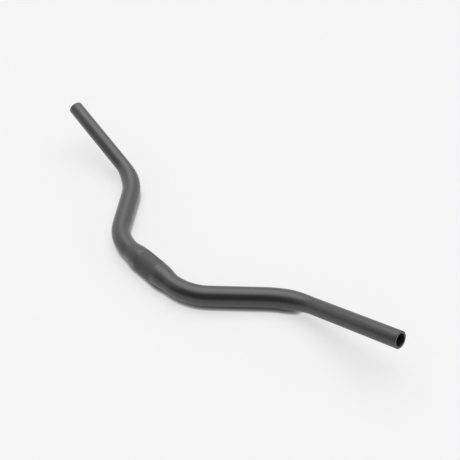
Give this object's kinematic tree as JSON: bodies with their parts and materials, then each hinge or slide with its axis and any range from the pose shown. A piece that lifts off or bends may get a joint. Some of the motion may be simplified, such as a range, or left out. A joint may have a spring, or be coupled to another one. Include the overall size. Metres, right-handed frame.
{
  "type": "bicycle handlebar",
  "caption": "Riser handlebar bent from a single tapered tube, with a thick clamp zone, sloping arms and swept-back grips, open at the ends.",
  "frame": {"origin": "centre of the clamp zone, on the tube's axis", "axes": "+X along the clamp to the rider's right, +Y up as ridden, +Z back to the rider, which is up as the bar lies; the arms' plane leans 1.8 degrees from XY, so that clamp and arms lie on one level"},
  "size_m": [0.666, 0.138, 0.0716],
  "materials": {
    "black_tube": "satin black, sand-blasted and anodised"
  },
  "bodies": {
    "root": {"handlebar": "black_tube"}
  },
  "joints": []
}
